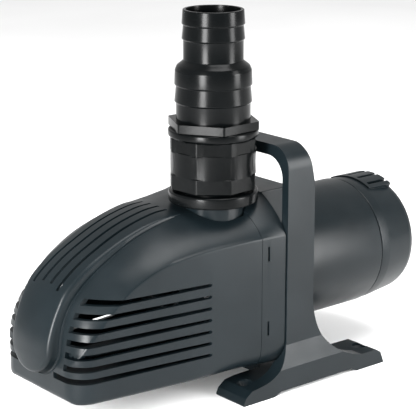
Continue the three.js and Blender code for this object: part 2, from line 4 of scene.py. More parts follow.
import bmesh
import bpy
import numpy as np
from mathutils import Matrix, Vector


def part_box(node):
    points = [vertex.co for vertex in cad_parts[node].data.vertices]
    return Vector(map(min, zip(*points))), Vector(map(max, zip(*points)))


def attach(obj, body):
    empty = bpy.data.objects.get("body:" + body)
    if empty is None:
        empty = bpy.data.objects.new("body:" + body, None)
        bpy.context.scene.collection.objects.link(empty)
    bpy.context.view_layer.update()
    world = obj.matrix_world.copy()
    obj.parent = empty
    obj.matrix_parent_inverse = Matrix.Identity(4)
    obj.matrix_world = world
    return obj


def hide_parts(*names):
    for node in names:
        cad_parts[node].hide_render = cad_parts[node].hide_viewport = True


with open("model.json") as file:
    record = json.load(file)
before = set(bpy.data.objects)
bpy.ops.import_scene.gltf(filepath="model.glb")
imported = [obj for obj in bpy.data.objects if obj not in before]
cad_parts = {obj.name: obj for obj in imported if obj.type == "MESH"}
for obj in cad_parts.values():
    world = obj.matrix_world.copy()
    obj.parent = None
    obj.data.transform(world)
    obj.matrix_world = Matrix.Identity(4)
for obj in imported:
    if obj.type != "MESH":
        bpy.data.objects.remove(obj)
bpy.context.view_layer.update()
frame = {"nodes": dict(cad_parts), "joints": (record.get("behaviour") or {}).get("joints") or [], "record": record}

# Shapes are drawn in millimetres about the motor shaft: x along the shaft from the nose to the
# motor, z above the shaft. place() turns them into metres in the CAD frame.
MM = 0.001
NOSE_X = -150.5
SHAFT_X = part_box("spine_panel")[0].x - NOSE_X * MM
SHAFT_Z = next(j for j in frame["joints"] if j["name"] == "rotor_spin")["pos_m"][2]
TAU = 2 * math.pi

# hull
HULL_NOSE_X = -142.7
SEAM_X = -7.1
COLLAR_FRONT_X = SEAM_X + 0.3
COLLAR_REAR_X = 11.3
HULL_WALL = 2.4
NOSE_HALF_WIDTH = 41.8
SIDE_TAPER = 0.1192
NOSE_CORNER_RADIUS = 14
HULL_BOTTOM = -50
CHIN_RADIUS = 5
CROWN = 2.2
CROWN_HALF = 24.5
CROWN_SPREAD = 11.5
LOWER_EDGE_IN = 3
LOWER_EDGE_IN_GROWTH = 4
LOWER_EDGE_UP = 3.2
LOWER_EDGE_UP_GROWTH = 13.5
LOWER_EDGE_LEAST = 0.8
NOSE_ZONE = 26

# spine tongue: a flat-topped strip with a U-shaped lower end, and four slots
TONGUE_HALF_NOSE = 20.6
TONGUE_HALF_TOP = 23.6
TONGUE_ROUND_Z = -17.5
TONGUE_ROUND_DEPTH = 18
TONGUE_END_X = -41
TONGUE_WALL = 2
WINDOW_MARGIN = 1.2
SPINE_SLOT_Y = (-12.75, -4.25, 4.25, 12.75)
SPINE_SLOT_WIDTH = 2.3
SPINE_SLOT_FRONT_X = -133.4
SPINE_SLOT_RAKE = 0.21
SPINE_SLOT_REAR_X = -49.5
RIM_MARGIN = 4.0
RIM_SMOOTHING = 7
DEPTH_SEARCH = 16.0
DEPTH_HALVINGS = 18
DEEPEST_FLANK = 9.0

# side slots, from the top one down; they narrow towards the rear
TOP_SLOT_Z = 12.6
SLOT_PITCH = 7.82
SIDE_SLOTS = [TOP_SLOT_Z - SLOT_PITCH * index for index in range(7)]
SIDE_SLOT_END_X = -45
SLOT_HALF_NOSE = 2.0
SLOT_HALF_REAR = 1.1
SLOT_HALF_TIP = 0.4
SLOT_INNER_Y = 27.8
LOWEST_SLOT_INNER_Y = 17.0

# rear collar
COLLAR_WINDOW_X = (-2.4, -1.0)
COLLAR_WINDOWS_Z = ((20.8, 30.6), (-29.9, -20.1))

# discharge
OUTLET = (-17.6, -21.3)
NECK_RADIUS = 21
RING_RADIUS = 29.2
OCTAGON_TURN = math.radians(252.9)
HEX_TURN = math.radians(243.3)

# motor
MOTOR_FRONT_X = 11.6
MOTOR_SEAM_X = 117.5
CAP_GROOVE_TURNS = (-19.5, -6.5, 6.5, 19.5)
GRIP_PAD_SPREAD = 26

# stand
GROUND = -SHAFT_Z / MM
LEG_OUTER_Y = 61.3
LEG_INNER_Y = 55.3
LEG_FRONT_X = 12
LEG_REAR_X = 35.5
LEG_FOOT_Z = -64.5
FLARE_FRONT_X = -12
FLARE_REAR_X = 79
FOOT_OUTER_Y = 65
FOOT_WIDTH = 28
FOOT_ARCH_Z = -68.7
HOOP_TOP = 94
HOOP_BAR = 7.4
STAND_SCREWS = [(23.5, -11), (23.5, 11)]
TOE_HOLE_X = (-15.5, 90)

# studio and camera
WORLD_STRENGTH = 0.74
FLOOR_REACH = 6.0
CAMERA_PLACE = (-644.7, -774.0, 320.1)
CAMERA_AZIMUTH = math.radians(39.6)
CAMERA_PITCH = math.radians(15.2)
CAMERA_LENS = 134.9


# ---- curves and sections ------------------------------------------------------------------------

def smoothstep(value, low, high):
    t = min(max((value - low) / (high - low), 0.0), 1.0)
    return t * t * (3 - 2 * t)


def spline(points, steps=16):
    """Centripetal Catmull-Rom curve through the points, as an array."""
    p = np.array(points, float)
    p = np.vstack([2 * p[0] - p[1], p, 2 * p[-1] - p[-2]])
    out = []
    for a, b, c, d in zip(p, p[1:], p[2:], p[3:]):
        k0 = 0.0
        k1 = k0 + np.linalg.norm(b - a) ** 0.5
        k2 = k1 + np.linalg.norm(c - b) ** 0.5
        k3 = k2 + np.linalg.norm(d - c) ** 0.5
        for k in np.linspace(k1, k2, steps, endpoint=False):
            ab = (k1 - k) / (k1 - k0) * a + (k - k0) / (k1 - k0) * b
            bc = (k2 - k) / (k2 - k1) * b + (k - k1) / (k2 - k1) * c
            cd = (k3 - k) / (k3 - k2) * c + (k - k2) / (k3 - k2) * d
            abc = (k2 - k) / (k2 - k0) * ab + (k - k0) / (k2 - k0) * bc
            bcd = (k3 - k) / (k3 - k1) * bc + (k - k1) / (k3 - k1) * cd
            out.append((k2 - k) / (k2 - k1) * abc + (k - k1) / (k2 - k1) * bcd)
    out.append(p[-2])
    return np.array(out)


SPINE = spline([
    (NOSE_X, -24), (-149.4, -13), (-146.4, -2.5), (-141.8, 8), (-135.2, 19), (-122, 30),
    (-106, 39), (-84.4, 48.4), (-64, 53.8), (-46, 55.9), (-38, 56),
])
CROWN_LINE = spline([
    (HULL_NOSE_X, -26), (-141.8, -20), (-140.6, -12), (-139, -4), (-136.4, 4), (-132.3, 11.5),
    (-127.5, 17.5), (-118, 26), (-104, 35), (-83.5, 45.3), (-63.5, 51.8), (-46, 54.9),
    (-24, 56.1), (SEAM_X, 57), (COLLAR_REAR_X, 62.4),
])
SHOULDER_LINE = spline([
    (HULL_NOSE_X, -27), (-139.5, -21.5), (-134, -12.8), (-127, -4.5), (-119.5, 3.5), (-114, 9.2),
    (-106.7, 16), (-97.5, 21.8), (-86.8, 27), (-76, 30), (-54, 33.5), (-24, 35.6),
    (COLLAR_REAR_X, 36.2),
])


def height_on(line, x):
    return float(np.interp(x, line[:, 0], line[:, 1]))


def quarter_round(radius, distance):
    if distance >= radius:
        return 0.0
    return radius - math.sqrt(radius ** 2 - (radius - max(distance, 0.0)) ** 2)


def bezier(a, b, c, steps, skip_first=True):
    first = 1 if skip_first else 0
    return [
        tuple((1 - t) ** 2 * p + 2 * t * (1 - t) * q + t * t * r for p, q, r in zip(a, b, c))
        for t in (step / steps for step in range(first, steps + 1))
    ]


def hull_half_section(x, inset=0.0):
    """The right half of the hull's section at x, from the top centre down to the bottom centre."""
    station = max(x - inset, HULL_NOSE_X)
    from_nose = station - HULL_NOSE_X
    wall = NOSE_HALF_WIDTH + SIDE_TAPER * from_nose
    half = wall - quarter_round(NOSE_CORNER_RADIUS, from_nose) - inset
    top = height_on(CROWN_LINE, station) - inset
    shoulder = min(height_on(SHOULDER_LINE, station), top - 1.5)
    floor = HULL_BOTTOM - 1.5 * smoothstep(station, -45, COLLAR_REAR_X)
    floor += quarter_round(CHIN_RADIUS, from_nose) + inset
    bevel = smoothstep(station, -60, -15)
    bevel_in = max(LOWER_EDGE_IN + LOWER_EDGE_IN_GROWTH * bevel - inset * 0.4, LOWER_EDGE_LEAST)
    bevel_up = max(LOWER_EDGE_UP + LOWER_EDGE_UP_GROWTH * bevel - inset * 0.4, LOWER_EDGE_LEAST)
    spread = CROWN_SPREAD * smoothstep(station, -45, COLLAR_REAR_X)
    flat = min(CROWN_HALF + spread, half * 0.66)
    edge = top - CROWN
    section = [(flat * t, top - CROWN * t ** 2) for t in np.linspace(0, 1, 11)]
    control = (half - 0.25 * (half - flat), shoulder + 0.57 * (edge - shoulder))
    section += bezier((flat, edge), control, (half, shoulder), 18)[:-1]
    # the crease is a small radius, and the wall below it is flat down to the lower edge
    section += [
        (half - 0.5, shoulder + 0.95), (half - 0.14, shoulder + 0.3), (half, shoulder - 0.55),
        (half, floor + bevel_up),
    ]
    section += bezier(
        (half, floor + bevel_up), (half - bevel_in * 0.1, floor + bevel_up * 0.1),
        (half - bevel_in, floor), 6,
    )
    section += [((half - bevel_in) * (1 - t), floor) for t in np.linspace(0, 1, 6)[1:]]
    return section


def hull_loop(x, inset=0.0):
    """The hull's whole section at x as a closed loop, moved inwards by inset."""
    side = hull_half_section(x, inset)
    left = [(-y, z) for y, z in side[1:-1]][::-1]
    return [(x, y, z) for y, z in side + left]


def hull_stations(start, end):
    """Places for the hull's sections, closer together in the rounded nose."""
    near = [start + t * t * NOSE_ZONE for t in np.linspace(0, 1, 22)]
    far = list(np.linspace(start + NOSE_ZONE, end, 46))[1:]
    return [x for x in near if x < end] + [x for x in far if x > start]


def inside_hull(x, y, z):
    if x < HULL_NOSE_X:
        return False
    section = hull_half_section(x)
    ys = np.array([p[0] for p in section])
    turn = int(ys.argmax())
    if abs(y) > ys[turn]:
        return False
    roof = np.interp(abs(y), ys[:turn + 1], [p[1] for p in section[:turn + 1]])
    return HULL_BOTTOM < z < roof


# ---- mesh helpers -------------------------------------------------------------------------------

def place(point):
    return (SHAFT_X + point[0] * MM, point[1] * MM, SHAFT_Z + point[2] * MM)


def new_object(name, points, faces, closed=True):
    mesh = bpy.data.meshes.new(name)
    mesh.from_pydata([place(p) for p in points], [], faces)
    mesh.validate()
    built = bmesh.new()
    built.from_mesh(mesh)
    bmesh.ops.remove_doubles(built, verts=built.verts, dist=1e-7)
    if closed:
        bmesh.ops.recalc_face_normals(built, faces=built.faces)
    built.to_mesh(mesh)
    built.free()
    obj = bpy.data.objects.new(name, mesh)
    bpy.context.scene.collection.objects.link(obj)
    return obj


def loft(name, loops):
    """Joins closed loops of equal length into a solid with flat ends."""
    count = len(loops[0])
    points = [p for loop in loops for p in loop]
    faces = []
    for row in range(len(loops) - 1):
        for step in range(count):
            a = row * count + step
            b = row * count + (step + 1) % count
            faces.append((a, b, b + count, a + count))
    faces.append(tuple(range(count)))
    faces.append(tuple(range(len(points) - count, len(points))))
    return new_object(name, points, faces)


def rounded(outline, radius, steps=3):
    """A closed outline with its corners rounded."""
    out = []
    count = len(outline)
    for index, corner in enumerate(outline):
        here = np.array(corner, float)
        before = np.array(outline[index - 1], float) - here
        after = np.array(outline[(index + 1) % count], float) - here
        reach = min(radius, np.linalg.norm(before) * 0.45, np.linalg.norm(after) * 0.45)
        start = here + before / np.linalg.norm(before) * reach
        end = here + after / np.linalg.norm(after) * reach
        out += bezier(tuple(start), tuple(here), tuple(end), steps, skip_first=False)
    return out


def turned(name, outline, axis, centre=(0, 0), segments=96):
    """Turns a closed outline of (radius, along) about the x or z axis."""
    loops = []
    for step in range(segments):
        angle = step / segments * TAU
        c, s = math.cos(angle), math.sin(angle)
        if axis == "x":
            loops.append([(along, r * c + centre[0], r * s + centre[1]) for r, along in outline])
        else:
            loops.append([(r * c + centre[0], r * s + centre[1], along) for r, along in outline])
    count = len(outline)
    points = [p for loop in loops for p in loop]
    faces = []
    for row in range(segments):
        following = (row + 1) % segments
        for step in range(count):
            after = (step + 1) % count
            a, b = row * count + step, row * count + after
            c, d = following * count + after, following * count + step
            faces.append((a, b, c, d))
    return new_object(name, points, faces)


def prism(name, outline, axis, low, high):
    """Sweeps an outline drawn across the axis (y,z for x; x,z for y; x,y for z)."""
    ends = []
    for level in (low, high):
        if axis == "x":
            ends.append([(level, a, b) for a, b in outline])
        elif axis == "y":
            ends.append([(a, level, b) for a, b in outline])
        else:
            ends.append([(a, b, level) for a, b in outline])
    return loft(name, ends)


def block(name, x, y, z):
    return prism(name, [(x[0], y[0]), (x[1], y[0]), (x[1], y[1]), (x[0], y[1])], "z", *z)


def drop(obj):
    mesh = obj.data
    bpy.data.objects.remove(obj)
    bpy.data.meshes.remove(mesh)


def combine(target, others, operation):
    """Cuts, joins or intersects target with each of the others, which are used up."""
    for other in others:
        modifier = target.modifiers.new("combine", "BOOLEAN")
        modifier.operation = operation
        modifier.solver = "EXACT"
        modifier.object = other
    apply_modifiers(target)
    for other in others:
        drop(other)


def apply_modifiers(obj):
    """Swaps the piece's mesh for what its modifiers make of it."""
    bpy.context.view_layer.update()
    graph = bpy.context.evaluated_depsgraph_get()
    mesh = bpy.data.meshes.new_from_object(obj.evaluated_get(graph))
    old = obj.data
    obj.modifiers.clear()
    obj.data = mesh
    bpy.data.meshes.remove(old)


def soften(obj, width, angle=30, segments=3):
    """Rounds the piece's edges with a bevel."""
    modifier = obj.modifiers.new("soften", "BEVEL")
    modifier.width = width * MM
    modifier.limit_method = "ANGLE"
    modifier.angle_limit = math.radians(angle)
    modifier.segments = segments
    modifier.miter_outer = "MITER_ARC"
    modifier.harden_normals = True


def shade(obj, angle=32):
    mesh = obj.data
    mesh.polygons.foreach_set("use_smooth", [True] * len(mesh.polygons))
    mesh.set_sharp_from_angle(angle=math.radians(angle))


def finished(obj, slot, body, nodes, angle=32):
    """Gives a piece its slot's material and its body, and hides the CAD nodes that it stands for."""
    shade(obj, angle)
    obj.data.materials.clear()
    obj.data.materials.append(SLOT_MATERIALS[slot])
    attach(obj, body)
    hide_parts(*nodes)


# ---- materials ----------------------------------------------------------------------------------

class Graph:
    """A material's nodes, with short calls for the ones used here."""

    def __init__(self, name):
        self.material = bpy.data.materials.new(name)
        self.material.use_nodes = True
        self.tree = self.material.node_tree
        self.shader = self.tree.nodes["Principled BSDF"]
        self.place = self.node("ShaderNodeTexCoord").outputs["Object"]

    def node(self, kind, **values):
        made = self.tree.nodes.new(kind)
        for key, value in values.items():
            setattr(made, key, value)
        return made

    def join(self, source, target):
        self.tree.links.new(source, target)

    def noise(self, scale, detail=3.0, stretch=None):
        made = self.node("ShaderNodeTexNoise")
        made.inputs["Scale"].default_value = scale
        made.inputs["Detail"].default_value = detail
        source = self.place
        if stretch:
            mapping = self.node("ShaderNodeMapping")
            mapping.inputs["Scale"].default_value = stretch
            self.join(self.place, mapping.inputs["Vector"])
            source = mapping.outputs["Vector"]
        self.join(source, made.inputs["Vector"])
        return made.outputs["Fac"]

    def ramp(self, source, low, high, start=0.35, end=0.65):
        made = self.node("ShaderNodeValToRGB")
        made.color_ramp.elements[0].position = start
        made.color_ramp.elements[1].position = end
        made.color_ramp.elements[0].color = (*low, 1)
        made.color_ramp.elements[1].color = (*high, 1)
        self.join(source, made.inputs["Fac"])
        return made.outputs["Color"]

    def span(self, source, low, high, start=0.3, end=0.7):
        made = self.node("ShaderNodeMapRange")
        made.inputs["From Min"].default_value = start
        made.inputs["From Max"].default_value = end
        made.inputs["To Min"].default_value = low
        made.inputs["To Max"].default_value = high
        self.join(source, made.inputs["Value"])
        return made.outputs["Result"]

    def bump(self, source, distance, strength=1.0, under=None):
        made = self.node("ShaderNodeBump")
        made.inputs["Distance"].default_value = distance
        made.inputs["Strength"].default_value = strength
        self.join(source, made.inputs["Height"])
        if under:
            self.join(under, made.inputs["Normal"])
        return made.outputs["Normal"]

    def finish(self, colour, roughness, normal, metallic=0.0, specular=0.5):
        self.join(colour, self.shader.inputs["Base Color"])
        self.join(roughness, self.shader.inputs["Roughness"])
        self.join(normal, self.shader.inputs["Normal"])
        self.shader.inputs["Metallic"].default_value = metallic
        self.shader.inputs["Specular IOR Level"].default_value = specular
        return self.material


def moulded_plastic(name, dark, light, roughness, grain, specular=0.15):
    """Moulded plastic: cloudy colour, spark-eroded grain and slow sink marks."""
    g = Graph(name)
    colour = g.ramp(g.noise(28, 4), dark, light)
    rough = g.span(g.noise(70, 5), *roughness)
    fine = g.bump(g.noise(2600, 2), grain, 0.5)
    broad = g.bump(g.noise(35, 1), 0.00012, 0.35, fine)
    return g.finish(colour, rough, broad, specular=specular)


def rubber_material():
    g = Graph("black_rubber")
    colour = g.ramp(g.noise(60, 3), (0.012, 0.012, 0.012), (0.022, 0.022, 0.022))
    return g.finish(colour, g.span(g.noise(200, 3), 0.7, 0.9), g.bump(g.noise(1800), 0.00003))


def turned_metal(name, dark, light, roughness, stretch):
    """Metal with fine machining lines along one direction and faint stains."""
    g = Graph(name)
    colour = g.ramp(g.noise(40, 4), dark, light)
    lines = g.noise(300, 2, stretch)
    rough = g.span(lines, *roughness)
    return g.finish(colour, rough, g.bump(lines, 0.00002, 0.6), metallic=1.0)


def ceramic_material():
    g = Graph("ground_ceramic")
    colour = g.ramp(g.noise(90, 4), (0.70, 0.67, 0.60), (0.82, 0.80, 0.74))
    return g.finish(colour, g.span(g.noise(400, 3), 0.25, 0.4), g.bump(g.noise(2500), 0.00001))


def ferrite_material():
    g = Graph("moulded_ferrite")
    colour = g.ramp(g.noise(300, 6), (0.025, 0.025, 0.028), (0.06, 0.06, 0.065))
    return g.finish(colour, g.span(g.noise(500, 3), 0.5, 0.75), g.bump(g.noise(1200), 0.00006))


def laminated_steel():
    """Stacked sheet steel: fine dark lines across the shaft."""
    g = Graph("laminated_steel")
    wave = g.node("ShaderNodeTexWave", wave_type="BANDS", bands_direction="X")
    wave.inputs["Scale"].default_value = 320
    wave.inputs["Distortion"].default_value = 0.3
    g.join(g.place, wave.inputs["Vector"])
    lines = wave.outputs["Fac"]
    colour = g.ramp(lines, (0.10, 0.10, 0.11), (0.32, 0.33, 0.34), 0.2, 0.6)
    return g.finish(colour, g.span(g.noise(200), 0.35, 0.55), g.bump(lines, 0.00008), metallic=1.0)


def copper_winding():
    """Enamelled wire laid round the core."""
    g = Graph("copper_winding")
    wave = g.node("ShaderNodeTexWave", wave_type="BANDS", bands_direction="DIAGONAL")
    wave.inputs["Scale"].default_value = 260
    wave.inputs["Distortion"].default_value = 1.5
    g.join(g.place, wave.inputs["Vector"])
    wires = wave.outputs["Fac"]
    colour = g.ramp(wires, (0.20, 0.06, 0.02), (0.62, 0.26, 0.10), 0.1, 0.7)
    return g.finish(colour, g.span(g.noise(300), 0.2, 0.4), g.bump(wires, 0.00025), metallic=0.9)


HOUSING = moulded_plastic(
    "housing_plastic", (0.0026, 0.0048, 0.006), (0.0042, 0.0068, 0.0083),
    (0.30, 0.38), 0.00003,
)
FITTING = moulded_plastic(
    "fitting_plastic", (0.0008, 0.0011, 0.0012), (0.0016, 0.002, 0.0022),
    (0.18, 0.24), 0.000008, 0.085,
)
RESIN = moulded_plastic(
    "potting_resin", (0.020, 0.016, 0.013), (0.035, 0.028, 0.022),
    (0.3, 0.5), 0.00004,
)
RUBBER = rubber_material()
STEEL = turned_metal(
    "stainless_steel", (0.34, 0.35, 0.36), (0.44, 0.45, 0.46), (0.32, 0.46), (6, 1, 1),
)
CERAMIC = ceramic_material()
FERRITE = ferrite_material()
LAMINATIONS = laminated_steel()
COPPER = copper_winding()

SLOT_MATERIALS = {
    "housing_plastic": HOUSING,
    "fitting_plastic": FITTING,
    "rubber": RUBBER,
    "stainless_steel": STEEL,
    "ceramic": CERAMIC,
    "magnet": FERRITE,
    "stator_steel": LAMINATIONS,
    "copper_winding": COPPER,
    "potting_resin": RESIN,
}


def dress_cad_nodes():
    """Every CAD node gets its slot's material, smooth shading and lightly broken edges."""
    for subpart in frame["record"]["subparts"]:
        node = frame["nodes"][subpart["node"]]
        node.data.materials.clear()
        node.data.materials.append(SLOT_MATERIALS[subpart["material_slot"]])
        node.data.polygons.foreach_set("use_smooth", [True] * len(node.data.polygons))
        weld = node.modifiers.new("weld", "WELD")
        weld.merge_threshold = 1e-6
        soften(node, 0.25, 35, 2)


# ---- spine tongue -------------------------------------------------------------------------------

def tongue_path():
    """Points, outward normals and arc length down the middle of the tongue, nose end first."""
    sunk = []
    for x, z in SPINE:
        share = 1 - smoothstep(x, -60, TONGUE_END_X)
        hull_top = height_on(CROWN_LINE, x)
        sunk.append((x, hull_top + (z - hull_top) * share if x > -70 else z))
    below = [(NOSE_X, z) for z in np.linspace(-44, -25, 20)]
    path = np.array(below + [p for p in sunk if p[0] <= TONGUE_END_X])
    step = np.gradient(path, axis=0)
    step /= np.linalg.norm(step, axis=1)[:, None]
    normals = np.stack([-step[:, 1], step[:, 0]], axis=1)
    lengths = np.concatenate([[0], np.cumsum(np.linalg.norm(np.diff(path, axis=0), axis=1))])
    return path, normals, lengths


PATH, PATH_NORMALS, PATH_LENGTHS = tongue_path()


def on_path(s):
    """(x, z) and the outward normal at arc length s."""
    x = np.interp(s, PATH_LENGTHS, PATH[:, 0])
    z = np.interp(s, PATH_LENGTHS, PATH[:, 1])
    nx = np.interp(s, PATH_LENGTHS, PATH_NORMALS[:, 0])
    nz = np.interp(s, PATH_LENGTHS, PATH_NORMALS[:, 1])
    return x, z, nx, nz


def tongue_point(s, y, sink):
    x, z, nx, nz = on_path(s)
    sink = sink + CROWN * (y / CROWN_HALF) ** 2
    return (x - nx * sink, y, z - nz * sink)


def path_length_at_x(x):
    return float(np.interp(x, PATH[:, 0], PATH_LENGTHS))


ROUND_S = float(np.interp(TONGUE_ROUND_Z, PATH[:60, 1], PATH_LENGTHS[:60]))
END_S = float(PATH_LENGTHS[-1])


def tongue_half(s):
    x = on_path(s)[0]
    share = (x - NOSE_X) / (TONGUE_END_X - NOSE_X)
    return TONGUE_HALF_NOSE + (TONGUE_HALF_TOP - TONGUE_HALF_NOSE) * share


def rim(offset, row):
    """Point (s, y) of the tongue's outline, moved outwards by offset; rows run round the U."""
    kind, value = row
    if kind == "round":
        half = TONGUE_HALF_NOSE + offset
        depth = TONGUE_ROUND_DEPTH + offset
        return ROUND_S - depth * math.cos(value), half * math.sin(value)
    side = -1 if kind == "left" else 1
    return value, side * (tongue_half(value) + offset)


def rim_rows(slot_ends):
    """Rows down the left side, round the U and up the right side, with one at each slot end."""
    rows = list(np.linspace(END_S, ROUND_S, 90)) + list(slot_ends)
    rows = sorted(set(rows), reverse=True)
    left = [("left", s) for s in rows]
    curve = [("round", angle) for angle in np.linspace(-math.pi / 2, math.pi / 2, 41)[1:-1]]
    right = [("right", s) for s in rows[::-1]]
    return left + curve + right


def depth_under(s, y):
    """How far the hull's surface lies under the tongue's at (s, y), found by halving."""
    low, high = 0.0, DEPTH_SEARCH
    if inside_hull(*tongue_point(s, y, 0.0)):
        return 0.0
    for _ in range(DEPTH_HALVINGS):
        middle = (low + high) / 2
        if inside_hull(*tongue_point(s, y, middle)):
            high = middle
        else:
            low = middle
    return min(high, DEEPEST_FLANK)


def edge_profile(depth):
    """(offset, sink) from the tongue's flat top, over its rounded edge and flank, to the lip."""
    radius = min(2.6, 0.3 + 0.5 * depth)
    profile = [
        (-radius + radius * math.sin(t), radius - radius * math.cos(t))
        for t in np.linspace(0, math.pi / 2, 6)
    ]
    strength = min(1.0, depth / 3.0)
    flare = 0.05 * depth
    hollow = min(0.8, 0.1 * depth)
    profile += [
        (0.5 * flare, max(radius, 0.6 * depth)),
        (flare + 0.2 * hollow, depth - 0.5 * hollow + 0.1 * strength),
        (flare + 0.6 * hollow, depth + 0.25 * strength),
        (flare + hollow + 0.3, depth + 0.4 * strength),
        (flare + hollow + 0.6, depth - 0.2 * strength),
        (flare + hollow + 0.9, depth - 0.55 * strength),
        (flare + hollow + 1.3, depth - 0.6 * strength),
        (flare + hollow + 1.6, depth - 0.2 * strength),
        (flare + hollow + 1.8, depth + 0.5),
        (flare + hollow + 1.8, depth + 1.6),
    ]
    return profile


def spine_slot_spans():
    """The arc lengths at which each of the tongue's slots starts and ends, by its y."""
    rear = path_length_at_x(SPINE_SLOT_REAR_X)
    return {
        y: (path_length_at_x(SPINE_SLOT_FRONT_X - abs(y) * SPINE_SLOT_RAKE), rear)
        for y in SPINE_SLOT_Y
    }


def rim_depths(rows):
    """The hull's depth a little outside the tongue at each row, evened out along the rim."""
    depths = [depth_under(*rim(RIM_MARGIN, row)) for row in rows]
    window = np.ones(RIM_SMOOTHING) / RIM_SMOOTHING
    return np.convolve(np.pad(depths, RIM_SMOOTHING // 2, mode="edge"), window, "valid")


def tongue_columns():
    """Distances from the middle that divide the flat top, with the slots' sides among them."""
    half = SPINE_SLOT_WIDTH / 2
    slot_sides = [abs(y) + d for y in SPINE_SLOT_Y for d in (-half, half)]
    between_slots = 8.5
    return sorted({0.0, *slot_sides, between_slots}, reverse=True)


def spine_tongue():
    slot_ends = spine_slot_spans()
    rows = rim_rows({s for ends in slot_ends.values() for s in ends})
    profiles = [edge_profile(depth) for depth in rim_depths(rows)]
    reach = len(profiles[0])
    columns = tongue_columns()
    points = []
    faces = []

    # rows round the U, each from its flat top's rim outwards
    for row, profile in zip(rows, profiles):
        for offset, sink in profile:
            s, y = rim(offset, row)
            points.append(tongue_point(s, y, sink))
    for index in range(len(rows) - 1):
        for step in range(reach - 1):
            a = index * reach + step
            faces.append((a, a + reach, a + reach + 1, a + 1))

    # the flat top: the same rows carried in to the middle along fixed distances from it
    inner = []
    for row, profile in zip(rows, profiles):
        start = len(points)
        s_rim, y_rim = rim(profile[0][0], row)
        for column in columns:
            if row[0] == "round":
                share = column / abs(rim(profile[0][0], ("round", math.pi / 2))[1])
                s = ROUND_S + (s_rim - ROUND_S) * share
                y = y_rim * share
            else:
                s = s_rim
                y = math.copysign(column, y_rim)
            points.append(tongue_point(s, y, 0.0))
        inner.append(start)
    for index in range(len(rows) - 1):
        first, second = inner[index], inner[index + 1]
        faces.append((index * reach, first, second, (index + 1) * reach))
        straight = rows[index][0] != "round" and rows[index][0] == rows[index + 1][0]
        for step in range(len(columns) - 1):
            if straight and in_spine_slot(rows[index], rows[index + 1], columns, step, slot_ends):
                continue
            a = first + step
            b = second + step
            faces.append((a, a + 1, b + 1, b))
    tongue = new_object("spine_tongue", points, faces, closed=False)
    shell = tongue.modifiers.new("shell", "SOLIDIFY")
    shell.thickness = TONGUE_WALL * MM
    shell.offset = -1
    apply_modifiers(tongue)
    finished(tongue, "housing_plastic", "strainer", ["spine_panel"], 40)


def in_spine_slot(row, following, columns, step, slot_ends):
    """Whether the cell between two rows and two columns lies in one of the tongue's slots."""
    side = -1 if row[0] == "left" else 1
    middle_y = side * (columns[step] + columns[step + 1]) / 2
    middle_s = (row[1] + following[1]) / 2
    for y, (low, high) in slot_ends.items():
        if abs(middle_y - y) < SPINE_SLOT_WIDTH / 2 and low < middle_s < high:
            return True
    return False


def tongue_window():
    """The solid that opens the cage under the tongue: a tapering strip with a U-shaped lower end."""
    half = TONGUE_HALF_NOSE + WINDOW_MARGIN
    depth = TONGUE_ROUND_DEPTH + WINDOW_MARGIN
    plan = [(-170, -half + 0.5), (-52, -24.4), (-52, 24.4), (-170, half - 0.5)]
    bottom = [
        (-half * math.cos(a), TONGUE_ROUND_Z - depth * math.sin(a))
        for a in np.linspace(0, math.pi, 33)
    ]
    outline = [(-40, 90), (-40, TONGUE_ROUND_Z), *bottom, (40, TONGUE_ROUND_Z), (40, 90)]
    window = prism("tongue_window", plan, "z", -60, 95)
    combine(window, [prism("front", outline, "x", -175, 0)], "INTERSECT")
    return window


# ---- strainer cage and collar -------------------------------------------------------------------

def neck_room():
    """The solids that clear the outlet's neck and the seat of its base ring."""
    neck = [(0.01, 20), (NECK_RADIUS, 20), (NECK_RADIUS, 80), (0.01, 80)]
    seat_radius = RING_RADIUS + 0.5
    seat = [(0.01, 57.2), (seat_radius, 57.2), (seat_radius, 80), (0.01, 80)]
    return [turned("neck", neck, "z", OUTLET), turned("neck_seat", seat, "z", OUTLET)]


def side_slot(index, z, side):
    inner = LOWEST_SLOT_INNER_Y if index == len(SIDE_SLOTS) - 1 else SLOT_INNER_Y
    front, taper, end = HULL_NOSE_X - 6, SIDE_SLOT_END_X - 1, SIDE_SLOT_END_X
    outline = [
        (front, z - SLOT_HALF_NOSE), (taper, z - SLOT_HALF_REAR), (end, z - SLOT_HALF_TIP),
        (end, z + SLOT_HALF_TIP), (taper, z + SLOT_HALF_REAR), (front, z + SLOT_HALF_NOSE),
    ]
    low, high = sorted((side * inner, side * 75))
    return prism("side_slot", outline, "y", low, high)


def strainer_cage():
    cage = loft("cage_shell", [hull_loop(x) for x in hull_stations(HULL_NOSE_X, SEAM_X)])
    core_stations = hull_stations(HULL_NOSE_X + HULL_WALL, SEAM_X + 2)
    core = loft("core", [hull_loop(x, HULL_WALL) for x in core_stations])
    slots = [side_slot(i, z, side) for i, z in enumerate(SIDE_SLOTS) for side in (-1, 1)]
    reach = (OUTLET[1] - NECK_RADIUS, OUTLET[1] + NECK_RADIUS)
    mouth = block("mouth", (OUTLET[0], SEAM_X + 3), reach, (20, 80))
    combine(cage, [core, tongue_window(), *slots, *neck_room(), mouth], "DIFFERENCE")
    finished(cage, "housing_plastic", "strainer", ["strainer_cage"])


def rear_collar():
    stations = np.linspace(COLLAR_FRONT_X, COLLAR_REAR_X, 12)
    collar = loft("collar_shell", [hull_loop(x) for x in stations])
    inner = np.linspace(COLLAR_FRONT_X - 2, COLLAR_REAR_X - 3, 10)
    core = loft("core", [hull_loop(x, HULL_WALL) for x in inner])
    windows = [block("window", COLLAR_WINDOW_X, (-70, 70), z) for z in COLLAR_WINDOWS_Z]
    hub = turned("hub", [(0.01, 0), (21, 0), (21, 20), (0.01, 20)], "x")
    combine(collar, [core, hub, *windows, *neck_room()], "DIFFERENCE")
    soften(collar, 0.5, 50, 2)
    finished(collar, "housing_plastic", "pump_body", ["rear_collar"])


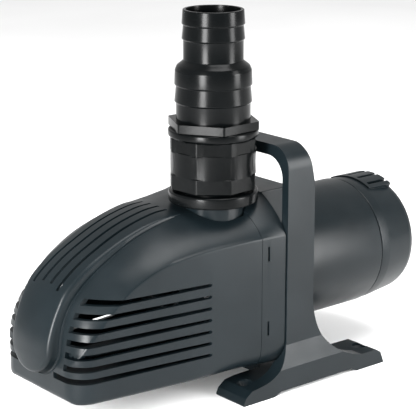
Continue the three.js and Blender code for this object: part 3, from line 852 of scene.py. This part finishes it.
# ---- discharge ----------------------------------------------------------------------------------

def polygon(radius, corner, sides, turn):
    """A regular polygon with rounded corners about the outlet's axis."""
    corners = [
        (radius * math.cos(turn + k * TAU / sides), radius * math.sin(turn + k * TAU / sides))
        for k in range(sides)
    ]
    return [(x + OUTLET[0], y + OUTLET[1]) for x, y in rounded(corners, corner, 3)]


def outlet_ring():
    outline = rounded([
        (20.9, 57.6), (28.4, 57.6), (RING_RADIUS, 58.4), (RING_RADIUS, 64.3), (28.4, 65.2),
        (20.9, 65.2),
    ], 0.5)
    ring = turned("base_ring", outline, "z", OUTLET, 128)
    finished(ring, "fitting_plastic", "pump_body", ["outlet_ring"])


def union_nut():
    levels = [
        (66.8, 28.5), (67.4, 29.2), (76.5, 29.2), (76.9, 28.8), (77.1, 28.0), (91.1, 28.0),
        (91.3, 28.8), (91.7, 29.2), (100.1, 29.2), (100.5, 28.6),
    ]
    nut = loft("union_nut_body", [
        [(x, y, z) for x, y in polygon(radius, 1.2, 8, OCTAGON_TURN)] for z, radius in levels
    ])
    groove = turned("groove", [
        (27.9, 77.1), (40, 77.1), (40, 91.3), (27.9, 91.3), (27.6, 84),
    ], "z", OUTLET, 128)
    waist = turned("waist", [
        (20, 76.4), (27.8, 76.4), (27.5, 84), (27.8, 92), (20, 92),
    ], "z", OUTLET, 128)
    top_ring = turned("top_ring", rounded([
        (20, 99.2), (26.8, 99.2), (28.9, 100.9), (RING_RADIUS, 101.5), (RING_RADIUS, 104.8),
        (28.5, 105.5), (20, 105.5),
    ], 0.4, 2), "z", OUTLET, 128)
    combine(nut, [groove], "DIFFERENCE")
    combine(nut, [waist, top_ring], "UNION")
    bores = [
        turned("bore", [(0.01, 60), (20.8, 60), (20.8, 97), (0.01, 97)], "z", OUTLET, 64),
        turned("seat", [(0.01, 92.8), (24.4, 92.8), (24.4, 112), (0.01, 112)], "z", OUTLET, 64),
    ]
    combine(nut, bores, "DIFFERENCE")
    finished(nut, "fitting_plastic", "union_nut", ["union_nut"])


def hose_tail():
    outline = rounded([
        (20.6, 94.9), (24, 94.9), (24, 122.4), (25.0, 122.9), (23.9, 133.5), (25.0, 133.9),
        (24.6, 143.2), (23.4, 146.0), (20.6, 148.2), (19.25, 149.4), (19.25, 162.6),
        (20.15, 163), (19.2, 172.1), (20.15, 172.5), (19.5, 181.7), (17.5, 181.7),
        (17.5, 148.4), (20.6, 143.4),
    ], 0.5)
    body = turned("stepped_tail", outline, "z", OUTLET, 128)
    flange = prism("flange", polygon(30.7, 1.0, 6, HEX_TURN), "z", 105.8, 111.2)
    hole = turned("hole", [(0.01, 100), (22, 100), (22, 115), (0.01, 115)], "z", OUTLET, 64)
    combine(flange, [hole], "DIFFERENCE")
    combine(body, [flange], "UNION")
    soften(body, 0.3, 40, 2)
    finished(body, "fitting_plastic", "hose_tail", ["hose_tail"])


# ---- motor --------------------------------------------------------------------------------------

def motor_can():
    front, seam = MOTOR_FRONT_X, MOTOR_SEAM_X
    outline = rounded([
        (21, front), (45, front), (45, seam - 0.7), (44.3, seam), (42, seam),
        (42, front + 4.7), (21, front + 4.7),
    ], 0.4)
    can = turned("motor_barrel", outline, "x", segments=128)
    pad = block("pad", (16, 31), (-18, 18), (-62, -40))
    hollow = turned("hollow", [(0.01, 10), (43.5, 10), (43.5, 60), (0.01, 60)], "x")
    combine(pad, [hollow], "DIFFERENCE")
    combine(can, [pad], "UNION")
    soften(can, 0.5, 40, 2)
    finished(can, "housing_plastic", "pump_body", ["motor_can"])


def motor_end_cap():
    outline = rounded([
        (38.5, 110), (41.7, 110), (41.7, 117.8), (43.9, 117.8), (44.5, 118.4), (44.3, 126),
        (41.7, 149), (40.3, 152.6), (36.5, 155), (31, 155), (30.4, 154.2), (29.4, 154.2),
        (28.8, 155), (6.2, 155), (6.2, 151.8), (36, 151.8), (38.5, 126),
    ], 0.7)
    cap = turned("motor_cap", outline, "x", segments=128)
    spread = GRIP_PAD_SPREAD
    arc = [math.radians(90 - spread + k * 2 * spread / 24) for k in range(25)]
    pad = [(45.3 * math.cos(a), 45.3 * math.sin(a)) for a in arc]
    pad += [(40.5 * math.cos(a), 40.5 * math.sin(a)) for a in arc[::-1]]
    combine(cap, [prism("pad", pad, "x", 128, 150)], "UNION")
    grooves = []
    for turn in CAP_GROOVE_TURNS:
        angle = math.radians(turn)
        c, s = math.cos(angle), math.sin(angle)
        corners = [(-1.3, 42.8), (1.3, 42.8), (1.3, 50), (-1.3, 50)]
        outline = [(y * c - z * s, y * s + z * c) for y, z in corners]
        grooves.append(prism("groove", outline, "x", 131, 153))
    combine(cap, grooves, "DIFFERENCE")
    soften(cap, 0.3, 40, 2)
    finished(cap, "housing_plastic", "pump_body", ["motor_end_cap"])


def saddle_box():
    box = block("saddle_cover", (MOTOR_FRONT_X, 43), (-30, 30), (25, 58.5))
    hollow = turned("hollow", [(0.01, 5), (45.3, 5), (45.3, 60), (0.01, 60)], "x", segments=128)
    combine(box, [hollow], "DIFFERENCE")
    soften(box, 1.6, 40, 4)
    finished(box, "housing_plastic", "pump_body", ["saddle_box"])


# ---- stand --------------------------------------------------------------------------------------

def hoop_outline(outer, top, radius):
    points = [(-outer, LEG_FOOT_Z), (outer, LEG_FOOT_Z)]
    for centre, start in (((outer - radius, top - radius), 0), ((radius - outer, top - radius), 90)):
        for step in range(17):
            angle = math.radians(start + step * 90 / 16)
            points.append((
                centre[0] + radius * math.cos(angle), centre[1] + radius * math.sin(angle),
            ))
    return points


def flare_outline():
    front = bezier((LEG_FRONT_X, -37), (8.5, -58), (FLARE_FRONT_X, -61), 16, False)
    rear = bezier((FLARE_REAR_X, -60.2), (39, -51.5), (LEG_REAR_X, -13), 20, False)
    sole = [(FLARE_FRONT_X, LEG_FOOT_Z), (FLARE_REAR_X, LEG_FOOT_Z)]
    return [(LEG_FRONT_X, 0), *front, *sole, *rear, (LEG_REAR_X, 0)]


def foot_outline():
    return [
        (FLARE_FRONT_X, -61), (-20.9, -62.2), (-26.2, -66.1), (-28.2, -70.3), (-27.4, GROUND),
        (-1.5, GROUND), (4.6, FOOT_ARCH_Z), (69, FOOT_ARCH_Z), (75, GROUND), (100.8, GROUND),
        (100.3, -69.8), (97.5, -63), (93.3, -60.4), (FLARE_REAR_X, -60.2),
    ]


def stand_foot(side):
    section = [
        (LEG_INNER_Y, 0), (LEG_INNER_Y, LEG_FOOT_Z), (FOOT_OUTER_Y, LEG_FOOT_Z),
        (FOOT_OUTER_Y, -54), (LEG_OUTER_Y, -39), (LEG_OUTER_Y, 0),
    ]
    web = prism("web", [(side * y, z) for y, z in section], "x", -30, 110)
    combine(web, [prism("flare", flare_outline(), "y", -70, 70)], "INTERSECT")
    low, high = sorted((side * FOOT_OUTER_Y, side * (FOOT_OUTER_Y - FOOT_WIDTH)))
    foot = prism("foot", foot_outline(), "y", low, high)
    return [web, foot]


def stand_frame():
    hoop = hoop_outline(LEG_OUTER_Y, HOOP_TOP, 15)
    stand = prism("stand_moulding", hoop, "x", LEG_FRONT_X, LEG_REAR_X)
    inner = prism("inner", hoop_outline(LEG_INNER_Y, HOOP_TOP - HOOP_BAR, 14), "x", 0, 60)
    trim = prism("trim", [
        (30.5, 112), (30.5, 91.5), (LEG_REAR_X, 67), (60, 67), (60, 112),
    ], "y", -70, 70)
    combine(stand, [inner, trim], "DIFFERENCE")
    bridge = block("bridge", (14, 33), (-40, 40), (FOOT_ARCH_Z, -62.3))
    combine(stand, [*stand_foot(1), *stand_foot(-1), bridge], "UNION")
    holes = []
    middle = FOOT_OUTER_Y - FOOT_WIDTH / 2
    bore = [(0.01, -80), (2.7, -80), (2.7, -65.4), (5.2, -62.4), (5.2, -50), (0.01, -50)]
    for x in TOE_HOLE_X:
        for side in (-1, 1):
            holes.append(turned("toe_hole", bore, "z", (x, side * middle), 32))
    shank = [(0.01, -80), (2.6, -80), (2.6, -50), (0.01, -50)]
    for centre in STAND_SCREWS:
        holes.append(turned("screw_hole", shank, "z", centre, 32))
    room = loft("room", [hull_loop(x, -0.5) for x in np.linspace(SEAM_X, COLLAR_REAR_X + 0.4, 8)])
    combine(stand, [*holes, room], "DIFFERENCE")
    soften(stand, 1.1, 28, 3)
    finished(stand, "housing_plastic", "pump_body", ["stand_frame"], 11)


# ---- stage --------------------------------------------------------------------------------------

def area_light(name, centre, target, size, power):
    data = bpy.data.lights.new(name, "AREA")
    data.shape = "RECTANGLE"
    data.size, data.size_y = size
    data.energy = power
    light = bpy.data.objects.new(name, data)
    light.location = centre
    direction = Vector(target) - Vector(centre)
    light.rotation_euler = direction.to_track_quat("-Z", "Y").to_euler()
    bpy.context.scene.collection.objects.link(light)


def studio():
    floor_mesh = bpy.data.meshes.new("floor")
    reach = FLOOR_REACH
    corners = [(-reach, -reach, 0), (reach, -reach, 0), (reach, reach, 0), (-reach, reach, 0)]
    floor_mesh.from_pydata(corners, [], [(0, 1, 2, 3)])
    floor = bpy.data.objects.new("floor", floor_mesh)
    bpy.context.scene.collection.objects.link(floor)
    g = Graph("pale_floor")
    colour = g.ramp(g.noise(3, 2), (0.86, 0.86, 0.86), (0.90, 0.90, 0.90))
    floor_mesh.materials.append(
        g.finish(colour, g.span(g.noise(5), 0.6, 0.7), g.bump(g.noise(60), 0.0001, 0.1)),
    )
    world = bpy.data.worlds.new("studio")
    world.use_nodes = True
    world.node_tree.nodes["Background"].inputs["Color"].default_value = (1, 1, 1, 1)
    world.node_tree.nodes["Background"].inputs["Strength"].default_value = WORLD_STRENGTH
    bpy.context.scene.world = world
    bpy.context.scene.view_settings.view_transform = "Standard"
    middle = (0, 0, 0.1)
    fitting = (-0.02, -0.02, 0.26)
    area_light("right_box", (0.84, -1.24, 0.55), middle, (0.45, 1.0), 14)
    area_light("left_box", (-1.41, -0.50, 0.60), middle, (0.28, 1.0), 4)
    area_light("left_low_box", (-0.82, -0.30, 0.26), fitting, (0.24, 0.5), 24)
    area_light("right_low_box", (0.46, -0.72, 0.26), fitting, (0.26, 0.5), 8)
    area_light("top_box", (0.15, -0.35, 1.6), middle, (1.0, 1.0), 32)


def camera():
    data = bpy.data.cameras.new("camera")
    data.sensor_width = 36
    data.lens = CAMERA_LENS
    view = bpy.data.objects.new("camera", data)
    view.location = place(CAMERA_PLACE)
    level = math.cos(CAMERA_PITCH)
    direction = Vector((
        math.sin(CAMERA_AZIMUTH) * level, math.cos(CAMERA_AZIMUTH) * level,
        -math.sin(CAMERA_PITCH),
    ))
    view.rotation_euler = direction.to_track_quat("-Z", "Y").to_euler()
    bpy.context.scene.collection.objects.link(view)
    bpy.context.scene.camera = view


camera()
studio()
dress_cad_nodes()
spine_tongue()
strainer_cage()
rear_collar()
outlet_ring()
union_nut()
hose_tail()
motor_can()
motor_end_cap()
saddle_box()
stand_frame()
